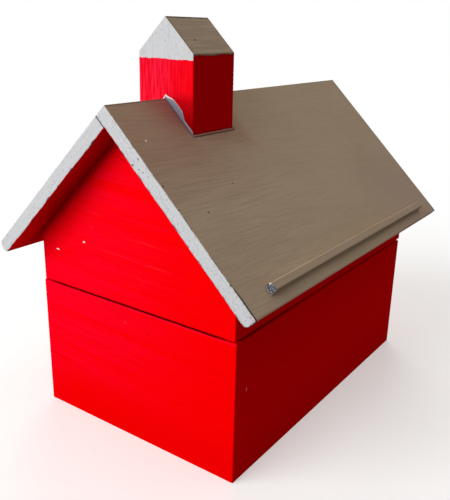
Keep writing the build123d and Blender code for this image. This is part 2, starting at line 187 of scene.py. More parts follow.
# Roof: along is along Y, down is down the slope, and the end is the end of a board
RIGHT_SLOPE = (-1.0, 1.0)
# Spans of the chimney's red light that is painted on the roof
ROSY_ALONG = (-30.0, -90.0)
ROSY_DOWN = (74.0, 24.0)
ROSY_ROUND_CHIMNEY = (17.0, 2.0)
FRONT_LOW_ALONG = (-70.0, -124.0)
FRONT_LOW_DOWN = (40.0, 80.0)
REAR_LOW_ALONG = (30.0, 90.0)
REAR_LOW_DOWN = (40.0, 100.0)
RIDGE_SHADE_DOWN = (12.0, -4.0)
DARK_LINES_ALONG = (0.0, -90.0)
DARK_LINES_DOWN = (110.0, 40.0)
PALE_LINES_ALONG = (60.0, -60.0)
PALE_LINES_DOWN = (50.0, 95.0)
BLUSH_START = (-1.0, 1.0)
BLUSH_AHEAD = (34.0, -4.0)
BLUSH_DOWN = (32.0, -2.0)
TRIM_BORDER = (0.1, 0.3)
BORDER_LINE = (-0.2, 0.2, 0.4, 0.9)
BORDER_LINE_DOWN = (50.0, 105.0)
ARRIS_LINE = (-0.1, 0.2, 1.1, 1.5)
ARRIS_LINE_DOWN = (100.0, 118.0)
RIDGE_LINE_DOWN = (-6.6, -7.6)
RIDGE_LINE_ALONG = (-70.0, -90.0)
JOINT_LINE = (0.55, 0.25)
JOINT_LINE_ACROSS = (0.5, -0.5)
JOINT_LINE_END = (1.2, 0.6)
FOOT_FRONT = (-1.0, 0.0)
FOOT_GAP = (1.6, 1.0)
FOOT_BEAD_WIDTH = (0.6, 0.4)
SOFFIT_HEIGHT = (0.6, 0.4)
SOFFIT_SHADE_OUT = (16.0, 4.0)
SOFFIT_SHADE_START = (-2.0, 3.5)
SOFFIT_SHADE_SIDE = (84.0, 54.0)
REAR_TIP_ALONG = (48.0, 66.0)
REAR_TIP_REACH = (8.0, 6.0)
EAVE_FACE = (0.7, 0.2)
EAVE_RED_REACH = (3.4, 3.1)
EAVE_RED_BORDER = (0.0, -0.3)
EAVE_RED_HEIGHT = 6.0
EAVE_RED_HEIGHT_REAR = -1.0
EAVE_RED_END = (44.0, 68.0)
PAST_TRIM = (0.0, 0.4)
FRINGE_HEIGHT = 0.5
FRINGE_WIDTH = (0.7, 0.35)
FRINGE_END = (1.4, 0.7)
INSIDE_LAP = (-2.0, -3.0)
INSIDE_HEIGHT = (1.0, 0.5)

# Chimney: lengths over its foot, from the line of its cap, and across its front
PLAIN_ACROSS = (-10.0, 20.0)
FOOT_DARK_UPPER = (6.0, -3.0)
FOOT_DARK_LOWER = (-2.0, -20.0)
FOOT_DARK_ACROSS = (-2.0, 4.0)
FOOT_EDGE = (1.3, 0.7)
CAP_DROP_SIDE = 0.8
CAP_DROP_FRONT = 3.2
CAP_BORDER = (-0.15, 0.15)
CAP_SHADOW = (1.8, 0.6)
CAP_EDGE_LINE = (0.9, 0.3)
CAP_RIM = (1.1, 0.4)
CAP_FRONT_RIM = (1.0, 0.5)
SMEAR_START = (-4.0, -0.5)
SMEAR_ACROSS = (0.0, 21.0)
SMEAR_HEIGHT_LEFT = 1.6
SMEAR_HEIGHT_RIGHT = 1.5
SMEAR_HEIGHT_ROUND = 0.3
SMEAR_BORDER = (-0.15, 0.15)
SWELL_ACROSS = (-0.5, 7.0, 12.0, 14.0)
SWELL_HEIGHT = 3.5
CREST = (-0.1, 0.2, 0.6, 1.1)
CREST_ACROSS = (7.0, 2.0)
CHIMNEY_GAP = (0.4, 0.2)

# Rail
WEAR_AND_HIGHLIGHT_ALONG = (66.0, 34.0)
BARE_END = (1.3, 0.9)
BARE_ROUND = (3.15, 2.7)
BARE_BORDER = (1.7, 2.8)

# Which way a face looks: the part of its normal along an axis, from nothing to full
SIDE_FACING = (0.6, 0.8)
GABLE_FACING = (0.5, 0.9)
FRONT_FACING = (-0.5, -0.8)
UP_FACING = (0.3, 0.5)
RAIL_TOP_FACING = (0.985, 0.999)
RAIL_SHOULDER_FACING = (0.78, 0.9)
RAIL_SHOULDER_END = (0.985, 0.96)
RAIL_OUTER_FACING = (0.0, 0.2)
RAIL_LOWER_FACING = (0.3, 0.7)

# Small marks in the paint: the middle of each and its reach along X, Y and Z, in millimetres
GABLE_CHIPS = (
    ((-61.1, WALL_FRONT, 112.5), (1.4, 1.5, 0.45)),
    ((-37.2, WALL_FRONT, 122.1), (0.9, 1.5, 0.6)),
)
WALL_RUBS = (
    ((-29.9, WALL_FRONT, 132.6), (1.2, 1.5, 1.0)),
    ((-4.9, WALL_FRONT, 77.9), (1.5, 1.5, 1.2)),
)
WALL_STAINS = (((13.1, WALL_FRONT, 76.0), (1.3, 1.5, 1.3)),)
SIDE_CHIPS = (((WALL_RIGHT, -103.2, 56.7), (1.5, 0.5, 1.6)),)
ROOF_CHIPS = (((18.4, -118.6, 190.4), (0.7, 0.7, 0.7)),)
ROOF_SPECKS = (
    ((38.5, -128.7, 171.0), (0.6, 0.7, 0.6)),
    ((49.2, -129.4, 160.6), (0.6, 0.6, 0.6)),
    ((53.7, -110.5, 156.3), (0.6, 0.8, 0.6)),
    ((45.2, -76.9, 164.5), (0.5, 0.7, 0.5)),
    ((19.4, ROOF_FRONT, 179.4), (0.9, 1.0, 0.6)),
    ((82.4, ROOF_FRONT, 129.2), (0.9, 0.9, 1.1)),
    ((84.9, ROOF_FRONT, 126.6), (0.5, 0.9, 0.8)),
    ((15.9, ROOF_FRONT, 193.4), (0.4, 0.8, 0.4)),
    ((23.3, ROOF_FRONT, 183.0), (0.5, 0.8, 0.5)),
    ((23.7, ROOF_FRONT, 177.6), (0.5, 0.8, 0.4)),
    ((26.5, ROOF_FRONT, 176.4), (0.5, 0.8, 0.4)),
    ((73.2, ROOF_FRONT, 146.3), (0.4, 0.8, 0.7)),
    ((76.7, ROOF_FRONT, 142.2), (0.4, 0.8, 0.8)),
)
END_CHIPS = (
    ((94.5, ROOF_FRONT, 115.3), (0.4, 1.0, 0.9)),
    ((95.7, ROOF_FRONT, 114.2), (0.5, 1.0, 0.5)),
)
RAIL_CHIPS = (((91.0, -108.2, 125.3), (0.8, 1.0, 0.5)),)
CAP_DENTS = (((12.8, -70.5, 240.0), (0.6, 1.1, 0.6)),)


class Graph:
    """The nodes of one material, made by short calls that return output sockets."""

    def __init__(self, name, roughness=0.5, specular=0.2, ior=1.45):
        self.material = bpy.data.materials.new(name)
        self.material.use_nodes = True
        self.tree = self.material.node_tree
        self.shader = self.tree.nodes["Principled BSDF"]
        self.shader.inputs["Roughness"].default_value = roughness
        self.shader.inputs["Specular IOR Level"].default_value = specular
        self.shader.inputs["IOR"].default_value = ior
        coordinates = self.tree.nodes.new("ShaderNodeTexCoord")
        self.place = coordinates.outputs["Object"]
        self.normal = coordinates.outputs["Normal"]
        self.x, self.y, self.z = self.split(self.place)

    def put(self, socket, value):
        """Links a socket, or sets a plain value."""
        if isinstance(value, bpy.types.NodeSocket):
            self.tree.links.new(value, socket)
        else:
            socket.default_value = value

    def split(self, vector):
        node = self.tree.nodes.new("ShaderNodeSeparateXYZ")
        self.put(node.inputs[0], vector)
        return node.outputs[0], node.outputs[1], node.outputs[2]

    def join(self, x, y, z):
        node = self.tree.nodes.new("ShaderNodeCombineXYZ")
        for socket, value in zip(node.inputs, (x, y, z)):
            self.put(socket, value)
        return node.outputs[0]

    def math(self, operation, first, *others):
        """One result from two or more values, or from one where the operation needs no more."""
        for other in others or (0.0,):
            node = self.tree.nodes.new("ShaderNodeMath")
            node.operation = operation
            self.put(node.inputs[0], first)
            self.put(node.inputs[1], other)
            first = node.outputs[0]
        return first

    def add(self, *values):
        return self.math("ADD", *values)

    def take(self, first, second):
        return self.math("SUBTRACT", first, second)

    def times(self, *values):
        return self.math("MULTIPLY", *values)

    def least(self, *values):
        return self.math("MINIMUM", *values)

    def most(self, *values):
        return self.math("MAXIMUM", *values)

    def size(self, value):
        return self.math("ABSOLUTE", value)

    def step(self, value, low, high, start=0.0, end=1.0):
        """A smooth step from start to end, as the value goes from low to high."""
        node = self.tree.nodes.new("ShaderNodeMapRange")
        node.interpolation_type = "SMOOTHSTEP"
        for socket, item in zip(node.inputs, (value, low, high, start, end)):
            self.put(socket, item)
        return node.outputs[0]

    def fade(self, length, span, share=1.0, rest=0.0):
        """A share that goes from rest to full over a span of the length, in millimetres."""
        none, full = span
        return self.step(length, none * MM, full * MM, rest, share)

    def band(self, length, span):
        """1 within a span of the length, which fades to 0 at both ends, in millimetres."""
        begin, full, last, end = span
        return self.times(self.fade(length, (begin, full)), self.fade(length, (end, last)))

    def vector(self, operation, first, second=(0.0, 0.0, 0.0)):
        node = self.tree.nodes.new("ShaderNodeVectorMath")
        node.operation = operation
        self.put(node.inputs[0], first)
        self.put(node.inputs[1], second)
        return node.outputs["Value" if operation == "LENGTH" else "Vector"]

    def noise(self, vector, scale=1.0, detail=2.0, roughness=0.5, distortion=0.0):
        node = self.tree.nodes.new("ShaderNodeTexNoise")
        self.put(node.inputs["Vector"], vector)
        node.inputs["Scale"].default_value = scale
        node.inputs["Detail"].default_value = detail
        node.inputs["Roughness"].default_value = roughness
        node.inputs["Distortion"].default_value = distortion
        return node.outputs[0]

    def streaks(self, along, detail=2.0, roughness=0.5, distortion=0.0, place=None):
        """Noise drawn out along the axes that change the least per metre."""
        stretched = self.vector("MULTIPLY", place or self.place, along)
        return self.noise(stretched, 1.0, detail, roughness, distortion)

    def wobble(self, scale, reach):
        """Noise about zero that reaches about this far each way."""
        return self.times(self.take(self.noise(self.place, scale), 0.5), 4 * reach)

    def spot(self, middle, reach):
        """1 within an uneven patch about a place, both given in millimetres."""
        offset = self.vector("SUBTRACT", self.place, tuple(value * MM for value in middle))
        share = self.vector("MULTIPLY", offset, tuple(1 / (value * MM) for value in reach))
        return self.step(self.add(self.vector("LENGTH", share), self.wobble(900.0, 0.3)), 1.2, 0.8)

    def mix(self, share, first, second):
        node = self.tree.nodes.new("ShaderNodeMix")
        node.data_type = "RGBA"
        self.put(node.inputs[0], share)
        self.put(node.inputs[6], first)
        self.put(node.inputs[7], second)
        return node.outputs[2]

    def mark(self, colour, marks, paint, share=1.0):
        """The colour with small patches of another paint over it."""
        for middle, reach in marks:
            colour = self.mix(self.times(self.spot(middle, reach), share), colour, paint)
        return colour

    def blend(self, share, first, second):
        node = self.tree.nodes.new("ShaderNodeMixShader")
        for socket, value in zip(node.inputs, (share, first, second)):
            self.put(socket, value)
        return node.outputs[0]

    def finish(self, colour, height, depth, roughness=None):
        """Sets the colour, and the bump from a height of 0 to 1 over this depth."""
        self.put(self.shader.inputs["Base Color"], colour)
        bump = self.tree.nodes.new("ShaderNodeBump")
        bump.inputs["Distance"].default_value = depth
        self.put(bump.inputs["Height"], height)
        self.put(self.shader.inputs["Normal"], bump.outputs[0])
        if roughness is not None:
            self.put(self.shader.inputs["Roughness"], roughness)
        return self.material


def wood_grain(graph, along):
    """Colour of bare pine, with its grain drawn out along one axis."""
    rings = graph.streaks(along, 4.0, 0.6, 0.4)
    return graph.mix(graph.step(rings, 0.35, 0.65), PINE, PINE_DARK)


def red_strokes(graph, along, place=None):
    """Brushed red paint, cooler up and to the left where a tint of the brightest light is painted, and the
    height of its strokes.
    """
    strokes = graph.streaks(along, 4.0, 0.6, 0.2, place)
    broad = graph.streaks(tuple(value * BROAD_STROKES for value in along), 3.0, place=place)
    raised = graph.most(graph.fade(graph.z, COOL_RISE), graph.fade(graph.x, COOL_LEFT, 0.7))
    warm_left = graph.times(graph.fade(graph.z, WARM_RISE), graph.fade(graph.x, WARM_LEFT, 0.45))
    # Painted light: the bluish tint of the brightest lit part, kept off the shaded top left of the gable
    cool = graph.times(graph.fade(graph.x, COOL_ACROSS), raised, graph.take(1.0, warm_left))
    cool = graph.times(graph.step(broad, 0.3, 0.6, 0.3, 1.0), cool)
    colour = graph.mix(cool, RED, RED_LIT_TINT)
    colour = graph.mix(graph.step(strokes, 0.48, 0.74, 0.0, 0.7), colour, RED_DEEP)
    return colour, strokes


def shade_below_roof(graph, colour):
    """The walls with painted shade, a deeper red in the corner below the roof, which is wider on the left
    where the overhang casts its shadow.
    """
    below_roof = graph.take(graph.take(under_peak, graph.times(graph.size(graph.x), roof_rise)), graph.z)
    # Painted shade in the corner where the gable meets the soffit
    corner = graph.fade(below_roof, CORNER_DEPTH, 0.68)
    corner = graph.times(corner, graph.fade(graph.x, CORNER_ACROSS, 1.0, 0.3))
    colour = graph.mix(corner, colour, RED_CORNER_SHADE)
    # Painted shadow of the left overhang on the gable
    shade = graph.times(graph.band(below_roof, SHADE_DEPTH), graph.fade(graph.x, SHADE_ACROSS, 0.5))
    return graph.mix(shade, colour, RED_SHADE_AND_STAIN)


def mark_walls(graph, colour, strokes):
    """The walls with pale strokes, chips, rubs and a stain."""
    on_gable = graph.times(graph.fade(graph.z, SCUFF_RISE), graph.fade(graph.x, SCUFF_ACROSS))
    scuffed = graph.times(on_gable, graph.step(strokes, 0.38, 0.28, 0.0, 0.07))
    colour = graph.mix(scuffed, colour, PINK_CHIP)
    colour = graph.mark(colour, GABLE_CHIPS, PALE_CHIP_AND_HIGHLIGHT)
    colour = graph.mark(colour, WALL_RUBS, PINK_CHIP, 0.03)
    colour = graph.mark(colour, WALL_STAINS, RED_SHADE_AND_STAIN, 0.3)
    return graph.mark(colour, SIDE_CHIPS, PALE_CHIP_AND_HIGHLIGHT, 0.25)


def line_seam(graph, colour):
    """The walls with painted shade on the dark edges along the seam, and a painted highlight on the lit
    line below it on the front.
    """
    from_seam = graph.size(graph.take(graph.z, seam_middle))
    groove = graph.fade(graph.add(from_seam, graph.wobble(240.0, 0.12 * MM)), SEAM_GROOVE)
    from_corner = graph.take(half_width, graph.size(graph.x))
    from_front = graph.add(graph.y, half_length)
    ahead = graph.fade(from_corner, GROOVE_FROM_CORNER, 1.0, 0.25)
    aside = graph.fade(from_front, GROOVE_SIDE_FADE, 0.7)
    aside = graph.times(aside, graph.fade(from_front, GROOVE_SIDE_START))
    # Painted shade in the groove of the seam between lid and box
    colour = graph.mix(graph.times(groove, graph.most(ahead, aside)), colour, RED_GROOVE_SHADE)
    # Painted highlight on the box's upper edge below the seam, which faces up into the light
    lit_edge = graph.band(graph.take(seam_middle, graph.z), LIT_EDGE)
    lit_edge = graph.times(lit_edge, graph.fade(from_front, LIT_EDGE_FRONT))
    lit_edge = graph.times(lit_edge, graph.fade(graph.x, LIT_EDGE_ACROSS, 0.4))
    return graph.mix(lit_edge, colour, RED_EDGE_HIGHLIGHT)


def wall_material():
    """Brushed red paint outside, which stops a little way over the edges, and bare pine inside."""
    graph = Graph("red_wall_paint", roughness=0.6, specular=0.1, ior=MATT_IOR)
    level = graph.add(graph.z, graph.times(graph.x, STROKE_TILT))
    colour, strokes = red_strokes(graph, WALL_STROKES, graph.join(graph.x, graph.y, level))
    # Painted shade: a deeper red towards the floor
    colour = graph.mix(graph.fade(graph.z, FOOT_SHADE_RISE, 0.7), colour, RED_DEEP)
    colour = shade_below_roof(graph, colour)
    colour = mark_walls(graph, colour, strokes)
    colour = line_seam(graph, colour)
    across = graph.take(graph.size(graph.x), half_width)
    lengthwise = graph.take(graph.size(graph.y), half_length)
    outside = graph.add(graph.most(across, lengthwise), graph.wobble(90.0, 1.2 * MM))
    colour = graph.mix(graph.fade(outside, PAINT_LAP), wood_grain(graph, WALL_GRAIN), colour)
    return graph.finish(colour, strokes, THIN_BRUSH)


class RoofGraph(Graph):
    """A graph that also measures from the edges of the roof boards and from the chimney."""

    def __init__(self, name, **surface):
        super().__init__(name, **surface)
        along, out = cos(ROOF_PITCH), sin(ROOF_PITCH)
        self.side = self.size(self.x)
        self.drop = self.take(self.z, under_peak)
        self.down = self.take(self.times(self.side, along), self.times(self.drop, out))
        self.height = self.add(self.times(self.side, out), self.times(self.drop, along))
        self.slope_place = self.join(self.down, self.y, self.height)
        self.on_right = self.fade(self.x, RIGHT_SLOPE)
        self.from_eave = self.take(ROOF_SLOPE, self.down)
        self.from_end = self.take(roof_half_length, self.size(self.y))
        from_edge = self.take(self.from_end, self.take(ROOF_BOARD, self.height))
        self.from_edge = self.add(from_edge, self.wobble(60.0, 0.3 * MM), self.wobble(420.0, 0.2 * MM))
        foot_x = self.take(self.side, chimney_high.x)
        foot_y = self.take(self.size(self.take(self.y, chimney_middle)), chimney_half_length)
        self.from_chimney = self.add(self.most(foot_x, foot_y), self.wobble(220.0, 0.15 * MM))
        self.before_chimney = self.take(chimney_low.y, self.y)


def brush_slope(roof, taupe):
    """The slope's paint with dark and pale lines of bristles, clearest at the front."""
    tilted = roof.join(roof.add(roof.down, roof.times(roof.y, BRISTLE_TILT)), roof.y, roof.height)
    bristles = roof.streaks(SLOPE_BRISTLES, 2.0, 0.6, 0.3, tilted)
    dark = roof.fade(roof.y, DARK_LINES_ALONG, 0.17, 0.02)
    dark = roof.times(dark, roof.fade(roof.down, DARK_LINES_DOWN, 1.0, 0.5))
    taupe = roof.mix(roof.times(roof.step(bristles, 0.46, 0.62), dark), taupe, BARK_GREY)
    pale = roof.fade(roof.y, PALE_LINES_ALONG, 0.11)
    pale = roof.times(pale, roof.fade(roof.down, PALE_LINES_DOWN, 1.0, 0.2))
    return roof.mix(roof.times(roof.step(bristles, 0.44, 0.34), pale), taupe, TAUPE_WORN_AND_HIGHLIGHT)


def slope_paint(roof, strokes):
    """Taupe that drifts in shade, with the red light of the chimney painted about its foot, and a pinkish
    line of wear on the right eave's lower face, painted paler to lift that face out of its shade.
    """
    drift = roof.streaks(SLOPE_DRIFT, place=roof.slope_place)
    shade = roof.add(roof.step(strokes, 0.36, 0.72, 0.05, 0.45), roof.step(drift, 0.4, 0.7, 0.0, 0.3))
    taupe = roof.mix(shade, TAUPE, TAUPE_DARK)
    # Painted reflection: red light thrown on the roof by the chimney's bright front
    red_bounce = roof.times(roof.fade(roof.y, ROSY_ALONG), roof.fade(roof.down, ROSY_DOWN))
    red_bounce = roof.most(red_bounce, roof.fade(roof.from_chimney, ROSY_ROUND_CHIMNEY))
    taupe = roof.mix(roof.times(red_bounce, roof.on_right, 0.85), taupe, TAUPE_RED_BOUNCE)
    front_low = roof.times(roof.fade(roof.y, FRONT_LOW_ALONG), roof.fade(roof.down, FRONT_LOW_DOWN, 0.3))
    taupe = roof.mix(front_low, taupe, TAUPE_DARK)
    rear_low = roof.times(roof.fade(roof.y, REAR_LOW_ALONG), roof.fade(roof.down, REAR_LOW_DOWN, 0.6))
    taupe = roof.mix(roof.times(rear_low, roof.on_right), taupe, TAUPE_FAR)
    taupe = roof.mix(roof.fade(roof.down, RIDGE_SHADE_DOWN, 0.3), taupe, TAUPE_DARK)
    taupe = brush_slope(roof, taupe)
    # Painted reflection: a stronger red just in front of the chimney
    red_reflection = roof.times(roof.on_right, roof.fade(roof.down, BLUSH_DOWN))
    red_reflection = roof.times(red_reflection, roof.fade(roof.before_chimney, BLUSH_START))
    red_reflection = roof.times(red_reflection, roof.fade(roof.before_chimney, BLUSH_AHEAD, 0.7))
    taupe = roof.mix(red_reflection, taupe, TAUPE_RED_REFLECTION)
    # A pinkish line of wear on the right eave's lower face, painted paler as light that lifts this shaded
    # face
    pink_end = roof.fade(roof.y, EAVE_RED_END, 0.0, 0.65)
    pink = roof.times(roof.fade(roof.from_eave, EAVE_FACE), roof.on_right, pink_end)
    return roof.mix(pink, taupe, TAUPE_PINK_LIT)


def trim_paint(graph, grain, grit_scale, grit_share, grit_limit):
    """Light grey with shaded grain and fine grit."""
    grey = graph.mix(graph.step(grain, 0.45, 0.75, 0.0, 0.8), TRIM_GREY, TRIM_SHADE)
    grit = graph.noise(graph.place, grit_scale, 2.0, 0.6)
    return graph.mix(graph.step(grit, 0.56, grit_limit, 0.0, grit_share), grey, TRIM_GRIT)


def edge_lines(roof):
    """Share of dark line along the edges of the roof's end, its ridge and the joint of the boards."""
    uneven = roof.step(roof.noise(roof.place, 150.0, 3.0), 0.46, 0.6, 0.15, 0.85)
    border = roof.times(roof.band(roof.from_edge, BORDER_LINE), uneven)
    border = roof.times(border, roof.fade(roof.down, BORDER_LINE_DOWN, 1.0, 0.6))
    arris = roof.band(roof.from_edge, ARRIS_LINE)
    arris = roof.times(arris, roof.fade(roof.down, ARRIS_LINE_DOWN, 0.9))
    ridge = roof.times(roof.fade(roof.down, RIDGE_LINE_DOWN), roof.fade(roof.y, RIDGE_LINE_ALONG, 0.5, 0.1))
    ridge = roof.times(ridge, roof.fade(roof.from_edge, PAST_TRIM))
    over = roof.add(roof.times(roof.x, sin(ROOF_PITCH)), roof.times(roof.drop, cos(ROOF_PITCH)))
    joint = roof.fade(roof.add(roof.size(over), roof.wobble(300.0, 0.12 * MM)), JOINT_LINE)
    joint = roof.times(joint, roof.fade(roof.x, JOINT_LINE_ACROSS, 0.75))
    joint = roof.times(joint, roof.fade(roof.from_end, JOINT_LINE_END))
    return roof.most(border, arris, ridge, joint)


def line_chimney_foot(roof, colour):
    """The roof with a gap line and a bead of paint round the chimney, grey in front of it."""
    in_front = roof.fade(roof.before_chimney, FOOT_FRONT)
    gap_line = roof.mix(in_front, DARK_SPECK, SMEAR_EDGE)
    colour = roof.mix(roof.fade(roof.from_chimney, FOOT_GAP, 0.85), colour, gap_line)
    bead = roof.mix(in_front, FOOT_BEAD, SMEAR_GREY)
    return roof.mix(roof.fade(roof.from_chimney, FOOT_BEAD_WIDTH, 0.8), colour, bead)


def paint_soffit(roof, colour):
    """The roof with red below its overhang and on the eaves, deepened with painted shade that is darkest
    next to the walls, and a dark fringe along the ends.
    """
    ragged = roof.add(roof.wobble(45.0, 0.35 * MM), roof.wobble(300.0, 0.2 * MM))
    under = roof.fade(roof.add(roof.height, ragged), SOFFIT_HEIGHT)
    rear_tip = roof.times(roof.fade(roof.y, REAR_TIP_ALONG), roof.fade(roof.from_eave, REAR_TIP_REACH))
    under = roof.times(under, roof.take(1.0, rear_tip))
    uneven = roof.wobble(120.0, 0.2 * MM)
    red_height = roof.fade(roof.y, EAVE_RED_END, EAVE_RED_HEIGHT_REAR * MM, EAVE_RED_HEIGHT * MM)
    over_red = roof.take(roof.add(roof.height, uneven), red_height)
    eave = roof.fade(roof.take(roof.from_eave, uneven), EAVE_RED_REACH)
    eave = roof.times(eave, roof.fade(over_red, EAVE_RED_BORDER), roof.fade(roof.from_edge, PAST_TRIM))
    # Painted shade: the red below the overhang made deeper, most of all next to the walls
    red = roof.mix(0.4, red_strokes(roof, SOFFIT_STROKES)[0], RED_SHADE_AND_STAIN)
    from_wall = roof.take(roof.size(roof.y), half_length)
    shaded = roof.fade(from_wall, SOFFIT_SHADE_OUT, 0.82, 0.5)
    shaded = roof.times(shaded, roof.fade(from_wall, SOFFIT_SHADE_START))
    shaded = roof.times(shaded, roof.fade(roof.side, SOFFIT_SHADE_SIDE, 0.95), 0.9)
    red = roof.mix(shaded, red, RED_CORNER_SHADE)
    colour = roof.mix(roof.most(under, eave), colour, red)
    from_border = roof.size(roof.take(roof.add(roof.height, ragged), FRINGE_HEIGHT * MM))
    fringe = roof.times(roof.fade(from_border, FRINGE_WIDTH), roof.fade(roof.from_end, FRINGE_END))
    fringe = roof.times(fringe, roof.step(roof.noise(roof.place, 130.0, 3.0), 0.48, 0.62, 0.1, 0.8))
    return roof.mix(fringe, colour, TRIM_FRINGE)


def roof_material():
    """Taupe paint on the slopes, grey on the ends, red below the overhang and bare pine inside."""
    roof = RoofGraph("roof_paint", roughness=0.65, specular=0.1, ior=MATT_IOR)
    strokes = roof.streaks(SLOPE_STROKES, 4.0, 0.75, 0.4, roof.slope_place)
    grain = roof.streaks(TRIM_GRAIN, 4.0, 0.7, 0.6, roof.slope_place)
    grey = trim_paint(roof, grain, 820.0, 0.5, 0.68)
    colour = roof.mix(roof.fade(roof.from_edge, TRIM_BORDER), grey, slope_paint(roof, strokes))
    colour = roof.mix(edge_lines(roof), colour, DARK_SPECK)
    colour = line_chimney_foot(roof, colour)
    colour = roof.mark(colour, ROOF_CHIPS, PALE_CHIP_AND_HIGHLIGHT)
    colour = roof.mark(colour, ROOF_SPECKS, DARK_SPECK, 0.7)
    colour = roof.mark(colour, END_CHIPS, PINK_CHIP, 0.6)
    colour = paint_soffit(roof, colour)
    lengthwise = roof.take(roof.size(roof.take(roof.y, lid_middle)), lid_half_length)
    within = roof.fade(roof.most(roof.take(roof.side, lid_half_width), lengthwise), INSIDE_LAP)
    inside = roof.times(within, roof.fade(roof.height, INSIDE_HEIGHT))
    colour = roof.mix(inside, colour, wood_grain(roof, SOFFIT_GRAIN))
    return roof.finish(colour, strokes, THICK_BRUSH)


class ChimneyGraph(Graph):
    """A graph that also knows the chimney's sides, its foot on the roof and the line of its cap."""

    def __init__(self, name, **surface):
        super().__init__(name, **surface)
        normal_x, normal_y, normal_z = self.split(self.normal)
        self.facing_side = self.step(self.size(normal_x), *SIDE_FACING)
        self.facing_front = self.step(normal_y, *FRONT_FACING)
        self.facing_up = self.step(normal_z, *UP_FACING)
        roof_line = self.take(top_peak, self.times(self.size(self.x), roof_rise))
        self.over_roof = self.take(self.z, roof_line)
        cap_drop = self.step(self.size(normal_y), *GABLE_FACING, CAP_DROP_SIDE * MM, CAP_DROP_FRONT * MM)
        cap_line = self.add(self.take(cap_eave, cap_drop), self.wobble(110.0, 0.5 * MM))
        cap_line = self.add(cap_line, self.wobble(420.0, 0.3 * MM))
        self.over_cap_line = self.take(self.z, cap_line)
        self.from_cap_line = self.size(self.over_cap_line)


def chimney_red(graph, strokes):
    """Streaked red, plainer to the right, with painted shade at the foot, on the sides and below the cap.
    """
    red = graph.mix(graph.step(strokes, 0.42, 0.58, 0.0, 0.95), CHIMNEY_RED, CHIMNEY_RED_DEEP)
    red = graph.mix(graph.fade(graph.x, PLAIN_ACROSS, 0.8), red, CHIMNEY_RED_PLAIN)
    # Painted shade: the front's right part darker near the ridge, where the roof shadows it
    over_peak = graph.take(graph.z, top_peak)
    dark = graph.fade(over_peak, FOOT_DARK_UPPER, 0.52)
    dark = graph.add(dark, graph.fade(over_peak, FOOT_DARK_LOWER, 0.34))
    dark = graph.times(dark, graph.fade(graph.x, FOOT_DARK_ACROSS))
    red = graph.mix(dark, red, CHIMNEY_SHADE_RED)
    # Painted shade on the sides
    red = graph.mix(graph.facing_side, red, CHIMNEY_SIDE_SHADE_RED)
    # Painted shade along the foot, where the chimney meets the roof
    red = graph.mix(graph.fade(graph.over_roof, FOOT_EDGE, 0.5), red, CHIMNEY_SHADE_RED)
    cap_shadow = graph.times(graph.facing_side, graph.fade(graph.from_cap_line, CAP_SHADOW, 0.3))
    return graph.mix(cap_shadow, red, CHIMNEY_SHADE_RED)


def cap_paint(graph, strokes):
    """Grey on the gables of the cap, and taupe with dark rims on its slopes and lower edges."""
    grey = trim_paint(graph, strokes, 700.0, 0.35, 0.7)
    lines = graph.streaks(CAP_LINES, 3.0, 0.6, 0.3)
    taupe = graph.mix(graph.step(lines, 0.42, 0.62, 0.0, 0.22), TAUPE_DARK, BARK_GREY)
    taupe = graph.mix(graph.step(lines, 0.44, 0.34, 0.0, 0.6), taupe, TAUPE)
    taupe = graph.mix(0.08, taupe, TRIM_SHADE)
    taupe = graph.mark(taupe, CAP_DENTS, DARK_SPECK, 0.6)
    from_rim = graph.least(graph.take(chimney_high.z, graph.z), graph.take(chimney_high.y, graph.y))
    rim = graph.fade(graph.add(from_rim, graph.wobble(300.0, 0.2 * MM)), CAP_RIM, 0.75)
    taupe = graph.mix(rim, taupe, DARK_SPECK)
    front_rim = graph.fade(graph.take(graph.y, chimney_low.y), CAP_FRONT_RIM, 0.6)
    taupe = graph.mix(front_rim, taupe, BARK_GREY)
    cap = graph.mix(graph.facing_up, grey, taupe)
    cap = graph.mix(graph.facing_side, cap, taupe)
    edge_line = graph.times(graph.facing_side, graph.fade(graph.from_cap_line, CAP_EDGE_LINE, 0.6))
    return graph.mix(edge_line, cap, BARK_GREY)


def smear_foot(graph, colour):
    """The chimney with a grey smear that swells at the foot of its front, a painted highlight along the top
    of the smear, and a gap line.
    """
    reach = graph.fade(graph.x, SMEAR_ACROSS, SMEAR_HEIGHT_RIGHT * MM, SMEAR_HEIGHT_LEFT * MM)
    swell = graph.times(graph.band(graph.x, SWELL_ACROSS), SWELL_HEIGHT * MM)
    on_front = graph.times(graph.facing_front, graph.fade(graph.x, SMEAR_START))
    reach = graph.times(graph.add(reach, swell), on_front)
    reach = graph.add(reach, graph.wobble(260.0, 0.3 * MM), SMEAR_HEIGHT_ROUND * MM)
    below_crest = graph.take(reach, graph.over_roof)
    colour = graph.mix(graph.fade(below_crest, SMEAR_BORDER), colour, SMEAR_GREY)
    # Painted highlight along the top of the smear
    crest_highlight = graph.times(graph.band(below_crest, CREST), graph.facing_front)
    crest_highlight = graph.times(crest_highlight, graph.fade(graph.x, CREST_ACROSS, 1.0, 0.22))
    colour = graph.mix(crest_highlight, colour, PALE_CHIP_AND_HIGHLIGHT)
    gap_share = graph.step(graph.facing_front, 0.0, 1.0, 0.8, 0.15)
    gap_line = graph.times(graph.fade(graph.over_roof, CHIMNEY_GAP), gap_share)
    return graph.mix(gap_line, colour, DARK_SPECK)


def chimney_material():
    """Brushed red below a grey and taupe cap, with a smear of grey at the foot of the front."""
    graph = ChimneyGraph("chimney_paint", roughness=0.6, specular=0.1, ior=MATT_IOR)
    strokes = graph.streaks(CHIMNEY_STROKES, 3.0, 0.7, 0.4)
    in_cap = graph.fade(graph.over_cap_line, CAP_BORDER)
    colour = graph.mix(in_cap, chimney_red(graph, strokes), cap_paint(graph, strokes))
    return graph.finish(smear_foot(graph, colour), strokes, THICK_BRUSH)


